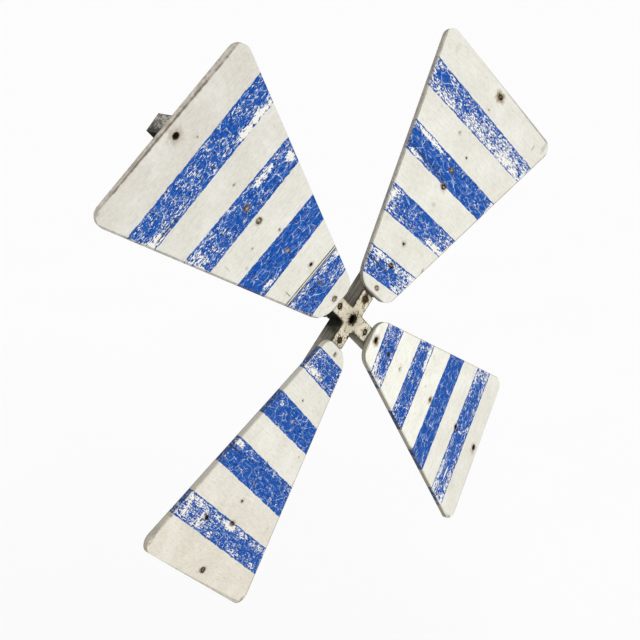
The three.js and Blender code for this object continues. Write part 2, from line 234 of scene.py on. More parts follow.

# In this order: upper left, upper right, lower left and lower right. The white's tone changes from the root
# to the tip; it is painted light as well as the paint's own tone, brighter towards the hub. The bare values
# say how bare of paint the anticlockwise (plus) and clockwise (minus) sides are, and outline says how grimy
# the outline is. The sides and ends each have a tint, which is painted shade mixed with some dirt.
BLADES = {
    4: dict(
        arm=135, turn=0.5, pitch=10.7, length=417.4,
        tip_tone_and_light=(0.83, 0.812, 0.815), root_tone_and_light=(0.95, 0.95, 0.95),
        bare_plus=0.5, bare_minus=0.5, outline=0.6,
        plus_side_dirt_and_shade=(0.62, 0.6, 0.56), minus_side_dirt_and_shade=(0.62, 0.6, 0.56),
        tip_end_dirt_and_shade=(0.98, 0.93, 0.88), root_end_dirt_and_shade=(0.6, 0.56, 0.5),
        stripes=[
            Stripe((329.5, -0.024), (368.6, -0.024), 0.47, inner_edge=0.05),
            Stripe((247.9, -0.024), (285.3, 0.0), 0.4, outer_edge=0.12, plus_end=0.1),
            Stripe((158.5, -0.045), (201.0, 0.002), 0.02, inner_edge=0.15, plus_end=0.05),
            Stripe((73.5, -0.076), (113.8, 0.006), 0.36,
                   inner_edge=0.05, outer_edge=0.22, minus_end=0.15)],
        patches=[
            Spot(334, -78, 7, 38, 0.5), Spot(333, 105, 8, 16, 0.3), Spot(163, 47, 6, 16, 0.6),
            Spot(270, 85, 14, 14, 0.2), Spot(264, -83, 9, 9, 0.5), Spot(82, -15, 8, 14, 0.15),
            Spot(276, -40, 6, 22, 0.3)],
        seams=[
            Seam(114.9, -60, 60), Seam(118.3, -60, 60), Seam(331.5, 60, 110)],
        stains=[
            Spot(416, 128, 6, 10, 0.5), Spot(416, 20, 2.0, 150, 0.75), Spot(127, 40, 8, 0.9, 0.7),
            Spot(230, 70, 7, 1.0, 0.35), Spot(206, 53, 3, 3, 0.3)],
        marks=[
            Mark(58, 0, 3.6, 0.8, 7, 0.55, pale=0.9),
            Mark(97, 0, 2.6, 0.7, 5, 0.4, pale=0.2),
            Mark(174, 0, 2.4, 0.5, 5, 0.5, pale=1.0),
            Mark(239, 0, 3.8, 0.9, 7, 0.5, pale=0.9),
            Mark(265, 0, 3.8, 0.9, 6, 0.6, pale=0.95),
            Mark(402, 0, 4.4, 1.0, 13, 0.4),
            Mark(129.5, -9.2, 2.6, 1.0, 6, 0.5),
            Mark(219.5, 30, 1.2, 0.6, 3, 0.2),
            Mark(205.8, -11, 1.6, 0.7, 4, 0.3),
            Mark(301, -9, 1.3, 0.6, 4, 0.35),
            Mark(380, -17, 1.2, 0.5, 3, 0.2)]),
    1: dict(
        arm=45, turn=-0.6, pitch=11.4, length=419.6,
        tip_tone_and_light=(0.92, 0.92, 0.92), root_tone_and_light=(0.95, 0.95, 0.95),
        bare_plus=0.7, bare_minus=0.5, outline=0.65,
        plus_side_dirt_and_shade=(0.58, 0.57, 0.53), minus_side_dirt_and_shade=(0.62, 0.6, 0.56),
        tip_end_dirt_and_shade=(0.62, 0.6, 0.56), root_end_dirt_and_shade=(0.22, 0.19, 0.15),
        stripes=[
            Stripe((330.5, -0.045), (368.0, -0.01), 0.64,
                   inner_edge=0.03, outer_edge=-0.06, minus_end=0.08),
            Stripe((239.4, -0.046), (279.5, -0.02), 0.24,
                   inner_edge=0.05, outer_edge=0.15, minus_end=0.05),
            Stripe((151.8, -0.083), (190.5, -0.045), 0.35, inner_edge=0.12, plus_end=0.2, minus_end=0.18),
            Stripe((65.0, -0.123), (104.0, -0.09), 0.4, outer_edge=0.2, plus_end=0.15, minus_end=0.25)],
        patches=[
            Spot(240, 60, 4, 34, 0.5), Spot(274, 60, 5, 34, 0.55), Spot(258, -68, 6, 12, 0.35),
            Spot(260, -94, 26, 5, 0.6), Spot(168, 62, 14, 7, 0.3), Spot(161, -48, 6, 26, 0.35),
            Spot(94, 12, 8, 34, 0.15), Spot(338, -60, 10, 60, 0.12), Spot(352, 95, 9, 22, -0.35),
            Spot(350, 40, 9, 30, -0.15)],
        seams=[
            Seam(83.6, -5, 70), Seam(246.0, 0, 120)],
        stains=[
            Spot(247, 95, 3.5, 7, 1.0), Spot(233, 89, 4, 5, 1.0), Spot(84, 48, 3, 8, 0.9),
            Spot(393, -104, 7, 1.2, 0.6), Spot(397, 104, 6, 6, 0.12), Spot(124, -51, 5, 1.5, 0.6),
            Spot(380, 137, 20, 2, 0.6), Spot(408, -122, 10, 5, 0.3)],
        marks=[
            Mark(56, 0, 3.6, 0.8, 6, 0.25, pale=1.0),
            Mark(95, 0, 3.8, 1.0, 6, 0.6, pale=0.5),
            Mark(132, 2, 2.0, 1.0, 6, 0.45),
            Mark(238, -3, 3.8, 1.0, 9, 0.6, pale=0.7),
            Mark(265, 0, 4.0, 0.9, 6, 0.6, pale=0.95),
            Mark(404, -3, 3.8, 1.0, 12, 0.85, pale=0.15),
            Mark(315, 24, 1.5, 0.5, 5, 0.3),
            Mark(296.5, -9.7, 1.8, 0.9, 4, 0.3),
            Mark(375.6, 2.4, 1.6, 0.5, 4, 0.2),
            Mark(207, -5, 1.5, 0.2, 5, 0.2)]),
    3: dict(
        arm=225, turn=0.4, pitch=10.5, length=416.3,
        tip_tone_and_light=(0.905, 0.86, 0.81), root_tone_and_light=(0.98, 0.97, 0.97),
        bare_plus=0.5, bare_minus=0.05, outline=0.45,
        plus_side_dirt_and_shade=(0.62, 0.6, 0.56), minus_side_dirt_and_shade=(0.55, 0.545, 0.53),
        tip_end_dirt_and_shade=(0.5, 0.45, 0.38), root_end_dirt_and_shade=(0.62, 0.61, 0.57),
        stripes=[
            Stripe((325.2, 0.056), (363.6, 0.058), 0.43,
                   inner_edge=0.22, outer_edge=0.1, plus_end=-0.05, minus_end=0.1),
            Stripe((234.1, 0.064), (277.5, 0.068), 0.18, inner_edge=0.25, minus_end=0.1),
            Stripe((148.7, 0.046), (188.0, 0.032), 0.06, inner_edge=0.22, minus_end=0.1),
            Stripe((64.7, 0.004), (104.3, 0.023), 0.4, inner_edge=0.05, outer_edge=0.15, minus_end=0.15)],
        patches=[
            Spot(345, -60, 14, 24, 0.2), Spot(334, 0, 7, 20, 0.3), Spot(160, -46, 6, 8, 0.35),
            Spot(272, 65, 6, 30, 0.3), Spot(236, -78, 6, 14, 0.4), Spot(97, -14, 8, 20, 0.3),
            Spot(340, -105, 20, 5, 0.3)],
        seams=[
            Seam(84.0, -70, -35), Seam(245.5, -120, -62)],
        stains=[
            Spot(410, -139, 22, 10, 0.9), Spot(411, 130, 10, 5, 0.6), Spot(415, -70, 1.6, 60, 0.6),
            Spot(245, -92, 4, 3, 0.8), Spot(232, -88, 4, 3, 0.6), Spot(328, -114, 3, 3, 0.6),
            Spot(360, -121, 3, 3, 0.6), Spot(380, -128, 30, 2, 0.5), Spot(200, 60, 3, 3, 0.3),
            Spot(310, 88, 8, 1, 0.3)],
        marks=[
            Mark(57, 0, 2.6, 0.7, 6, 0.4, pale=0.3),
            Mark(97, 0, 2.0, 0.3, 5, 0.3),
            Mark(168, -1, 2.6, 0.2, 4, 0.1, pale=1.0),
            Mark(234, 0, 1.6, 0.15, 4, 0.2),
            Mark(266, 0, 1.6, 0.15, 4, 0.2),
            Mark(400, 3, 4.4, 1.0, 9, 0.5, pale=0.1),
            Mark(136.6, -7.5, 1.6, 0.8, 4, 0.3),
            Mark(295.5, -4, 2.2, 0.9, 6, 0.4),
            Mark(328, 4, 3.6, 1.0, 8, 0.7, pale=0.3),
            Mark(339, -54, 3.8, 1.0, 7, 0.4),
            Mark(346, -62, 1.8, 0.9, 3, 0.3),
            Mark(337, -61, 1.2, 0.8, 3, 0.3)]),
    2: dict(
        arm=315, turn=-0.4, pitch=11.7, length=414.8,
        tip_tone_and_light=(0.92, 0.915, 0.91), root_tone_and_light=(1.11, 1.12, 1.12),
        bare_plus=0.5, bare_minus=0.25, outline=0.45,
        plus_side_dirt_and_shade=(0.62, 0.6, 0.56), minus_side_dirt_and_shade=(0.345, 0.32, 0.27),
        tip_end_dirt_and_shade=(0.62, 0.6, 0.56), root_end_dirt_and_shade=(0.36, 0.345, 0.28),
        stripes=[
            Stripe((327.0, 0.01), (369.5, 0.0), 0.31,
                   inner_edge=0.2, outer_edge=0.22, plus_end=0.1, minus_end=0.25),
            Stripe((240.0, 0.016), (284.0, 0.0), -0.1, inner_edge=0.1, outer_edge=0.08, minus_end=0.1),
            Stripe((154.5, 0.0), (193.8, 0.0), 0.3,
                   inner_edge=0.2, outer_edge=0.15, plus_end=0.1, minus_end=0.05),
            Stripe((71.0, -0.065), (108.5, 0.0), 0.37,
                   inner_edge=0.16, outer_edge=0.18, plus_end=0.1, minus_end=0.15)],
        patches=[
            Spot(349, 106, 16, 12, 0.2), Spot(76, -24, 8, 14, 0.2), Spot(189, 45, 5, 28, 0.4),
            Spot(262, -32.5, 13, 1.2, 0.8), Spot(349, -72, 2, 12, 0.8), Spot(345, -2, 8, 1.5, 0.6),
            Spot(86, -45, 20, 6, 0.25)],
        seams=[
            Seam(85.0, -60, -38)],
        stains=[
            Spot(405, -128, 12, 4, 0.5), Spot(399, -134, 14, 3, 0.6), Spot(190, -73, 8, 2, 0.7),
            Spot(240, -85, 8, 2, 0.7)],
        marks=[
            Mark(57, 2, 4.2, 1.0, 10, 0.9),
            Mark(96, 1, 3.6, 0.8, 6, 0.5),
            Mark(134, -3, 2.0, 0.35, 5, 0.3),
            Mark(174, 0, 2.4, 0.2, 4, 0.1, pale=1.0),
            Mark(235, 0, 2.4, 0.9, 8, 0.8),
            Mark(401, -2, 4.6, 1.0, 10, 0.7),
            Mark(328, 0, 3.8, 1.0, 7, 0.5),
            Mark(336, -2, 2.4, 0.8, 6, 0.4),
            Mark(210, 11, 1.2, 0.3, 4, 0.2),
            Mark(80, 11, 1.6, 0.9, 3, 0.2)]),
}


class BladePaint:
    """One blade's paint: blue stripes over white in front, and a thin worn coat behind.

    Its coordinates are u out along the arm, v across it anticlockwise, and w to the front, where 0 is the
    blade's front face.
    """

    def __init__(self, number, blade):
        self.blade = blade
        self.material, self.g = start_material(f"blade_paint_{number}")
        g = self.g
        directions = axes(blade["arm"] + blade["turn"], blade["pitch"])
        self.u, self.v, self.w, here = g.place(BLADE_FRONT, directions)
        self.spot = g.shift(here, (NOISE_STEP * number, 2 * NOISE_STEP * number, 0.0))
        self.side = g.fade(self.w, -0.8, -1.4)      # 1 on the sides and the back, 0 in front
        self.inside = self.distance_inside()

        spot = self.spot
        self.streak = g.noise(g.stretch(spot, 1.0, 0.10, 1.0), 0.70, 5.0, 0.68)
        self.dash = g.noise(g.stretch(spot, 1.0, 0.16, 1.0), 0.42, 3.0, 0.6)
        self.thread = g.noise(g.stretch(spot, 1.0, 0.05, 1.0), 0.45, 3.0, 0.6)
        self.speck = g.noise(g.stretch(spot, 1.0, 0.48, 1.0), 0.45, 4.0, 0.62, 0.3)
        self.mottle = g.noise(g.stretch(spot, 1.0, 0.7, 1.0), 0.20, 4.0, 0.62)
        self.smear = g.noise(spot, 0.10, 5.0, 0.7)
        self.blot = g.noise(spot, 0.055, 5.0, 0.6)
        self.cloud = g.noise(spot, 0.02, 3.0, 0.6)
        self.fine = g.noise(spot, 0.9, 3.0, 0.6)
        self.grain = g.noise(g.stretch(spot, 0.5, 0.03, 0.5), 1.0, 5.0, 0.65)
        self.bare = g.mix(g.fade(self.grain, 0.35, 0.65), BARE_DARK, BARE_LIGHT)

    def distance_inside(self):
        """How far in from the blade's outline a point is."""
        g, u = self.g, self.u
        half = g.add(g.mul(u, BLADE_TAPER), BLADE_ROOT_HALF - BLADE_INNER * BLADE_TAPER)
        from_side = g.sub(half, g.size(self.v))
        from_outline = g.least(from_side, g.sub(self.blade["length"], u))
        return g.math("SMOOTH_MIN", from_outline, g.sub(u, BLADE_INNER), INNER_CORNER)

    def from_spot(self, spot):
        """The distance from a spot's middle, as a share of the way to its outline."""
        g = self.g
        return g.distance(g.mul(g.sub(self.u, spot.out), 1.0 / spot.long),
                          g.mul(g.sub(self.v, spot.across), 1.0 / spot.wide))

    def stripe_wear(self, stripe, from_inner, from_outer):
        """How worn one stripe is: all over, along its edges and at its ends."""
        g, v = self.g, self.v
        end = 0.9 * (BLADE_ROOT_HALF + BLADE_TAPER * (stripe.inner[0] - BLADE_INNER))
        worn = stripe.worn
        if stripe.inner_edge:
            off = g.size(g.sub(from_inner, 6.0))
            worn = g.add(worn, g.fade(off, 2.0, 8.0, stripe.inner_edge, 0.0))
        if stripe.outer_edge:
            off = g.size(g.sub(from_outer, 5.5))
            worn = g.add(worn, g.fade(off, 2.0, 7.0, stripe.outer_edge, 0.0))
        if stripe.plus_end:
            worn = g.add(worn, g.fade(v, 0.3 * end, end, 0.0, stripe.plus_end))
        if stripe.minus_end:
            worn = g.add(worn, g.fade(v, -0.3 * end, -end, 0.0, stripe.minus_end))
        return worn

    def stripes(self):
        """How much the stripes cover, and how worn they are."""
        g, v = self.g, self.v
        waver = g.noise(g.stretch(self.spot, 0.0, 0.05, 0.0), 1.0, 4.0, 0.6)
        sway = g.add(self.u, g.fade(waver, 0.2, 0.8, -EDGE_WAVER, EDGE_WAVER))
        depth, wear = -1000.0, 0.0
        for stripe in self.blade["stripes"]:
            inner_at, inner_slope = stripe.inner
            outer_at, outer_slope = stripe.outer
            from_inner = g.sub(sway, g.add(g.mul(v, inner_slope), inner_at))
            from_outer = g.sub(g.add(g.mul(v, outer_slope), outer_at), sway)
            here = g.least(from_inner, from_outer)
            depth = g.most(depth, here)
            worn = self.stripe_wear(stripe, from_inner, from_outer)
            wear = g.add(wear, g.mul(g.fade(here, -0.5, 0.5), worn))
        for patch in self.blade["patches"]:
            wear = g.add(wear, g.fade(self.from_spot(patch), 0.3, 1.3, patch.strength, 0.0))

        # more wear along the blade's outline, less on its sides and in a thin line along each stripe's edge
        at_outline = g.mul(g.fade(self.inside, 0.0, 4.0, 0.25, 0.0), g.sub(1.0, self.side))
        wear = g.add(wear, at_outline, g.mul(self.side, -0.20), g.fade(depth, 1.2, 2.6, -0.22, 0.0))
        ragged = g.add(depth, g.fade(self.speck, 0.3, 0.7, 0.4, -0.4))
        return g.fade(ragged, -0.35, 0.35), wear

    def cracks(self):
        g = self.g
        bent = g.bend(self.spot, CRACK_BEND)
        coarse = g.cells(g.stretch(bent, 1.0, 0.62, 1.0), COARSE_CRACK_SCALE)
        fine = g.cells(g.stretch(bent, 1.0, 0.5, 1.0), FINE_CRACK_SCALE)
        lines = g.most(g.fade(coarse, 0.010, 0.034, 1.0, 0.0), g.fade(fine, 0.02, 0.06, 0.18, 0.0))
        return g.mul(lines, g.fade(g.noise(self.spot, 0.09, 4.0, 0.65), 0.42, 0.60, 0.08, 1.0))

    def blue_coat(self, flaking, crack):
        g = self.g
        blue = g.mix(g.fade(self.mottle, 0.35, 0.65), BLUE, BLUE_LIGHT)
        blue = g.tint(blue, BLUE_DARK, 0.75, self.streak, 0.50, 0.62)
        blue = g.tint(blue, BLUE_DARK, 0.85, self.speck, 0.44, 0.33)
        blue = g.tint(blue, BLUE_DARK, 0.5, flaking, 0.815, 0.850)
        scratched = g.mul(g.fade(self.dash, 0.60, 0.65, 0.0, 0.6), g.fade(self.mottle, 0.40, 0.55))
        blue = g.mix(scratched, blue, CRACK)
        blue = g.mix(g.mul(crack, 0.85), blue, CRACK)
        return g.tint(blue, CRACK, 0.30, self.thread, 0.62, 0.70)

    def white_coat(self, cover):
        g = self.g
        # painted light along with the paint's own tone: the white is brighter towards the hub
        tone = g.mix(g.fade(self.u, 170.0, 410.0), self.blade["root_tone_and_light"], self.blade["tip_tone_and_light"])
        white = g.mix(1.0, tone, WHITE, "MULTIPLY")
        white = g.tint(white, WHITE_DIRTY, 0.22, self.cloud, 0.40, 0.70)
        white = g.tint(white, WHITE_DIRTY, 0.55, self.streak, 0.49, 0.34)
        white = g.tint(white, WHITE_DIRTY, 0.18, self.mottle, 0.46, 0.30)
        white = g.tint(white, WHITE_DIRTY, 0.35, self.speck, 0.44, 0.28)
        white = g.tint(white, WHITE_DIRTY, 0.25, self.thread, 0.47, 0.33)
        white = g.tint(white, WHITE_CHALK, 0.10, self.speck, 0.50, 0.62)
        white = g.tint(white, WHITE_CHALK, 0.13, self.mottle, 0.46, 0.62)
        white = g.tint(white, WHITE_CHALK, 0.16, self.cloud, 0.48, 0.34)
        return g.mix(g.mul(cover, 0.6), white, WHITE_CHALK)

    def add_seams(self, colour):
        """The open joints between the boards."""
        g = self.g
        for seam in self.blade["seams"]:
            line = g.fade(g.size(g.sub(self.u, seam.out)), 0.45, 1.35, 0.95, 0.0)
            started = g.fade(self.v, seam.start, seam.start + SEAM_FADE)
            going = g.fade(self.v, seam.stop - SEAM_FADE, seam.stop, 1.0, 0.0)
            line = g.mul(line, started, going, g.fade(self.blot, 0.35, 0.55, 0.7, 1.0))
            colour = g.mix(line, colour, SEAM_DARK)
        return colour

    def add_grime(self, colour):
        """Brown stains, and grime along the outline of the front."""
        g = self.g
        for stain in self.blade["stains"]:
            away = g.add(self.from_spot(stain), g.fade(self.smear, 0.3, 0.7, 0.35, -0.35))
            amount = g.mul(g.fade(away, 0.3, 1.2, stain.strength, 0.0), g.sub(1.0, g.mul(self.side, 0.7)))
            colour = g.mix(amount, colour, GRIME_AND_SHADE)
        grime = g.mul(g.fade(self.inside, 1.1, 2.5, 1.0, 0.0), g.fade(self.smear, 0.36, 0.62, 0.6, 1.0))
        return g.mix(g.mul(grime, g.sub(1.0, self.side), self.blade["outline"]), colour, GRIME_AND_SHADE)

    def side_coat(self, colour):
        """The blade's sides: the same coats, tinted with painted shade and some dirt, worn to the wood, and
        with painted shade along the back edge.
        """
        g, u, v, blade = self.g, self.u, self.v, self.blade
        # the tint of each side and end is painted shade, mixed with some dirt
        tint = g.mix(g.fade(v, -5.0, 5.0), blade["minus_side_dirt_and_shade"], blade["plus_side_dirt_and_shade"])
        tint = g.mix(g.fade(u, blade["length"] - 10.0, blade["length"] - 4.0), tint, blade["tip_end_dirt_and_shade"])
        tint = g.mix(g.fade(u, BLADE_INNER + 26.0, BLADE_INNER + 10.0), tint, blade["root_end_dirt_and_shade"])
        shaded_side = g.mix(1.0, colour, tint, "MULTIPLY")
        bareness = g.fade(v, -5.0, 5.0, 0.5 * blade["bare_minus"], 0.5 * blade["bare_plus"])
        worn = g.add(g.mul(self.smear, 0.7), g.mul(self.fine, 0.3), bareness)
        shaded_side = g.mix(g.fade(worn, 0.62, 0.90, 0.05, 0.9), shaded_side, self.bare)
        # painted shade along the back edge of the side
        rear_edge_shade = g.fade(self.w, 2.6 - BLADE_THICKNESS, 1.0 - BLADE_THICKNESS)
        return g.mix(g.mul(rear_edge_shade, 0.6), shaded_side, GRIME_AND_SHADE)

    def back_coat(self):
        """The blade's back: one thin white coat, worn to the wood along the grain."""
        g = self.g
        thin = g.mix(g.fade(self.mottle, 0.35, 0.65), BACK_DARK, BACK_LIGHT)
        worn = g.add(g.mul(self.grain, 0.55), g.mul(self.blot, 0.30), g.mul(self.speck, 0.15))
        thin = g.mix(g.fade(worn, 0.49, 0.56, 0.05, 0.95), thin, self.bare)
        return g.mix(g.fade(self.inside, 0.0, 9.0, 0.45, 0.0), thin, GRIME_AND_SHADE)

    def add_marks(self, colour):
        """Screws and nails: a brown halo, and a dark dot or a broken dark ring round a paler middle."""
        g = self.g
        facing = g.fade(self.w, -4.0, -2.5)
        broken = g.fade(g.noise(self.spot, 0.30, 2.0, 0.5), 0.36, 0.54, 0.45, 1.0)
        for mark in self.blade["marks"]:
            out = g.sub(self.u, mark.out)
            across = g.mul(g.sub(self.v, mark.across), MARK_SHAPE)
            away = g.add(g.distance(out, across), g.fade(self.fine, 0.2, 0.8, -1.0, 1.0))
            spread = g.add(away, g.fade(self.smear, 0.3, 0.7, 0.3 * mark.halo, -0.3 * mark.halo))
            halo = g.fade(spread, 0.30 * mark.halo, mark.halo, mark.stain, 0.0)
            colour = g.mix(g.mul(facing, halo), colour, RUST)
            if mark.pale:
                middle = g.fade(away, 0.8 * mark.dot, mark.dot, mark.pale, 0.0)
                colour = g.mix(g.mul(facing, middle), colour, RUST_PALE)
                hollow = g.fade(away, 0.15 * mark.dot, 0.50 * mark.dot, 1.0 - mark.pale, 1.0)
                ring = g.fade(away, 0.85 * mark.dot, 1.3 * mark.dot, mark.dark, 0.0)
                dark = g.mul(ring, hollow, broken)
            else:
                dark = g.fade(away, 0.7 * mark.dot, 1.2 * mark.dot, mark.dark, 0.0)
            colour = g.mix(g.mul(facing, dark), colour, RUST_DARK)
        return colour

    def paint(self):
        """Joins the coats and returns the material."""
        g = self.g
        cover, wear = self.stripes()
        flaking = g.add(g.mul(self.streak, 0.40), g.mul(self.speck, 0.60), g.mul(self.blot, 0.30),
                        g.mul(wear, 0.30))
        crack = self.cracks()
        painted = g.mul(cover, g.sub(1.0, g.fade(flaking, 0.850, 0.868)))
        colour = g.mix(painted, self.white_coat(cover), self.blue_coat(flaking, crack))
        colour = self.add_grime(self.add_seams(colour))
        colour = g.mix(self.side, colour, self.side_coat(colour))
        back = g.fade(self.w, 0.3 - BLADE_THICKNESS, 0.1 - BLADE_THICKNESS)
        colour = self.add_marks(g.mix(back, colour, self.back_coat()))
        height = g.add(g.mul(painted, 0.12), g.mul(crack, cover, -0.10), g.mul(self.streak, 0.25),
                       g.mul(self.fine, 0.08))
        g.finish(colour, g.fade(self.speck, 0.3, 0.7, 0.55, 0.75), height)
        return self.material


for number, blade in BLADES.items():
    of_blade = [name for name in NODES if name.startswith(f"blade_{number}_")]
    dress(BladePaint(number, blade).paint(), *of_blade)


# ---- the battens ----------------------------------------------------------------------------
WOOD_DARK = (0.105, 0.092, 0.076)
WOOD_LIGHT = (0.32, 0.30, 0.255)
WOOD_PORE = (0.032, 0.026, 0.020)
WOOD_ALGAE = (0.075, 0.078, 0.052)
WOOD_ARRIS = (0.010, 0.008, 0.006)
WOOD_SHADE = (0.007, 0.006, 0.004)
WOOD_SHADE_BLACK = (0.004, 0.0035, 0.003)
END_DARK = (0.13, 0.12, 0.105)
END_LIGHT = (0.46, 0.44, 0.40)
END_PORE = (0.05, 0.045, 0.04)
END_SHADE = (0.02, 0.018, 0.015)
END_RIM = (0.10, 0.095, 0.085)
BLACK_SHADE_SPAN = 375.0                # mm out from where the black painted shade near the hub starts to where the black painted shade at the end starts
NOWHERE = 1000.0                # mm out, past the end of any batten
BORE_SHADE_RADIUS = 8.4              # mm from the axis, inside which a batten is black with painted shade in the bore


def batten_end(g, v, w, rings, pores, smear):
    """End grain: growth rings, and painted shade that darkens it towards the anticlockwise side."""
    end = g.mix(g.fade(rings, 0.40, 0.60), END_DARK, END_LIGHT)
    end = g.tint(end, END_PORE, 0.7, pores, 0.50, 0.64)
    end = g.tint(end, END_SHADE, 0.9, g.add(v, g.fade(smear, 0.3, 0.7, -3.0, 3.0)), -4.0, 13.0)
    from_side = g.sub(BATTEN_HALF_WIDTH, g.size(v))
    rim = g.least(from_side, g.least(g.size(w), g.add(w, BATTEN_DEPTH)))
    return g.mix(g.fade(rim, 0.4, 2.0, 0.55, 0.0), end, END_RIM)


def batten_material(name, angle, black_from, shade_out, shade_back):
    """Weathered wood. Its anticlockwise side is black with painted shade from black_from out, near the hub
    and at the end, and it has painted shade at the hub, by shade_out on the side towards the angle and by
    shade_back on the other."""
    material, g = start_material(name)
    u, v, w, spot = g.place(HUB_FRONT, axes(angle))
    grain = g.noise(g.stretch(spot, 0.022, 1.0, 1.0), 0.55, 5.0, 0.6, 0.5)
    pores = g.noise(g.stretch(spot, 0.06, 1.0, 1.0), 1.8, 4.0, 0.65)
    blot = g.noise(spot, 0.03, 4.0, 0.6)
    smear = g.noise(spot, 0.12, 4.0, 0.65)
    rings = g.noise(g.stretch(spot, 0.0, 1.0, 1.0), 0.16, 3.0, 0.55, 1.6)
    colour = g.mix(g.fade(grain, 0.33, 0.66), WOOD_DARK, WOOD_LIGHT)
    colour = g.tint(colour, WOOD_PORE, 0.8, pores, 0.50, 0.66)
    colour = g.tint(colour, WOOD_ALGAE, 0.6, blot, 0.45, 0.68)

    # darker along the arrises, and painted shade towards the hub
    from_side = g.sub(BATTEN_HALF_WIDTH, g.size(v))
    arris = g.fade(g.most(from_side, g.size(w)), 0.3, 2.6, 0.85, 0.0)
    colour = g.mix(g.mul(arris, g.fade(smear, 0.38, 0.60, 0.4, 1.0)), colour, WOOD_ARRIS)
    hub_shade = g.fade(g.add(g.size(u), g.fade(smear, 0.3, 0.7, -7.0, 7.0)), 16.0, 42.0, 1.0, 0.0)
    colour = g.mix(g.mul(hub_shade, g.fade(u, -1.0, 1.0, shade_back, shade_out)), colour, WOOD_SHADE)

    # black painted shade on the anticlockwise side, near the hub and at the end, and in the bore
    hub_black_shade = g.mul(g.fade(u, black_from - 6.0, black_from), g.fade(u, 60.0, 110.0, 1.0, 0.0))
    end_black_shade = g.fade(u, black_from + BLACK_SHADE_SPAN - 10.0, black_from + BLACK_SHADE_SPAN + 10.0)
    on_side = g.fade(v, BATTEN_HALF_WIDTH - 1.2, BATTEN_HALF_WIDTH - 0.4)
    black_side_shade = g.mul(g.add(hub_black_shade, end_black_shade), on_side, g.fade(smear, 0.25, 0.45, 0.8, 0.97))
    colour = g.mix(black_side_shade, colour, WOOD_SHADE_BLACK)
    bore_shade = g.fade(g.distance(u, v), BORE_SHADE_RADIUS, BORE_SHADE_RADIUS + 0.8, 0.97, 0.0)
    colour = g.mix(bore_shade, colour, WOOD_SHADE_BLACK)

    at_end = g.fade(g.size(u), BATTEN_HALF_LENGTH - 0.8, BATTEN_HALF_LENGTH - 0.2)
    colour = g.mix(at_end, colour, batten_end(g, v, w, rings, pores, smear))
    height = g.add(g.mul(grain, 0.9), g.mul(pores, -0.4))
    g.finish(colour, g.fade(grain, 0.3, 0.7, 0.95, 0.8), height, bump=0.8, level=0.06)
    return material


# ---- the hub plate and its screws -----------------------------------------------------------
CREAM = (0.68, 0.63, 0.50)
CREAM_DULL = (0.53, 0.47, 0.34)
CREAM_STAINED = (0.34, 0.30, 0.20)
PLATE_RUST_DARK = (0.040, 0.026, 0.014)
PLATE_RUST_LIGHT = (0.17, 0.110, 0.050)
PLATE_RING = (0.035, 0.024, 0.014)
PLATE_HALO = (0.006, 0.005, 0.003)
PLATE_OUTLINE = (0.035, 0.028, 0.018)
PLATE_EDGE = (0.045, 0.036, 0.024)
PLATE_CHIPS = ((-19.0, -11.5), (-24.0, -10.5))      # mm, on the plate's own axes
SCREW_RIM = 4.3                 # mm, the radius of the dark ring round a plate screw
HEAD_DARK = (0.10, 0.062, 0.028)
HEAD_LIGHT = (0.40, 0.31, 0.175)
HEAD_RUSTY = (0.075, 0.043, 0.018)
HEAD_RIM = (0.014, 0.009, 0.005)
HEAD_SLOT_SHADE = (0.006, 0.004, 0.003)


def plate_places(g):
    """Coordinates on the plate, and the distances to the screws on its u and v arms."""
    u, v, w, spot = g.place(HUB_FRONT, axes(REAR_BATTEN_ANGLE))
    to_u_screw = g.distance(g.sub(g.size(u), PLATE_SCREW_AT), v)
    to_v_screw = g.distance(g.sub(g.size(v), PLATE_SCREW_AT), u)
    return u, v, w, spot, to_u_screw, to_v_screw


def plate_rust(g, places, blot, dots, away):
    """Where the paint has rusted through: specks, and more round the hole, the screws and two chips. The
    screw on the arm towards +u is the rustiest."""
    u, v, _, _, to_u_screw, to_v_screw = places
    mask = g.add(g.mul(blot, 0.5), g.mul(dots, 0.6), g.fade(away, 6.5, 13.0, 0.11, 0.0))
    u_halo = g.mul(g.fade(to_u_screw, 3.5, 11.0, 0.21, 0.0), g.fade(u, -1.0, 1.0, 0.45, 1.0))
    mask = g.add(mask, u_halo, g.fade(to_v_screw, 3.5, 9.0, 0.06, 0.0))
    for chip_u, chip_v in PLATE_CHIPS:
        to_chip = g.distance(g.sub(u, chip_u), g.sub(v, chip_v))
        mask = g.add(mask, g.fade(to_chip, 1.2, 3.4, 0.5, 0.0))
    return g.fade(mask, 0.585, 0.665)


